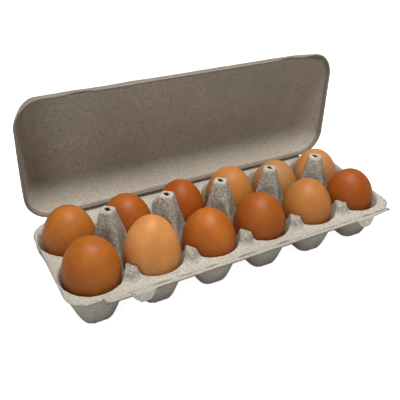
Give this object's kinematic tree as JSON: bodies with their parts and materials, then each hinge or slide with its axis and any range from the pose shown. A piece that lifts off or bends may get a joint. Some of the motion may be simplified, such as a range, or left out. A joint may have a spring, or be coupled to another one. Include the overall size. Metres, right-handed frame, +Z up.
{
  "type": "egg carton with eggs",
  "caption": "Moulded-pulp egg carton with its lid open, filled with brown hen's eggs standing in cups between tall posts.",
  "frame": {"origin": "middle of the bounding box with the lid open, on the surface the feet stand on", "axes": "X along the carton, -Y the front, +Y the hinge side, +Z up"},
  "size_m": [0.2921, 0.1459, 0.1443],
  "materials": {
    "tray_pulp": "rough fibrous moulded pulp",
    "lid_pulp": "rough fibrous moulded pulp",
    "eggshell": "soft satin eggshell"
  },
  "bodies": {
    "tray": {"tray": "tray_pulp", "egg_front_1": "eggshell", "egg_front_2": "eggshell", "egg_front_3": "eggshell", "egg_front_4": "eggshell", "egg_front_5": "eggshell", "egg_front_6": "eggshell", "egg_back_1": "eggshell", "egg_back_2": "eggshell", "egg_back_3": "eggshell", "egg_back_4": "eggshell", "egg_back_5": "eggshell", "egg_back_6": "eggshell"},
    "lid": {"lid": "lid_pulp"}
  },
  "joints": [
    {"name": "lid_hinge", "type": "hinge", "parent": "tray", "child": "lid", "pos_m": [0, 0.03955, 0.043], "axis": [1, 0, 0], "range_deg": [-88, 89.4]}
  ]
}
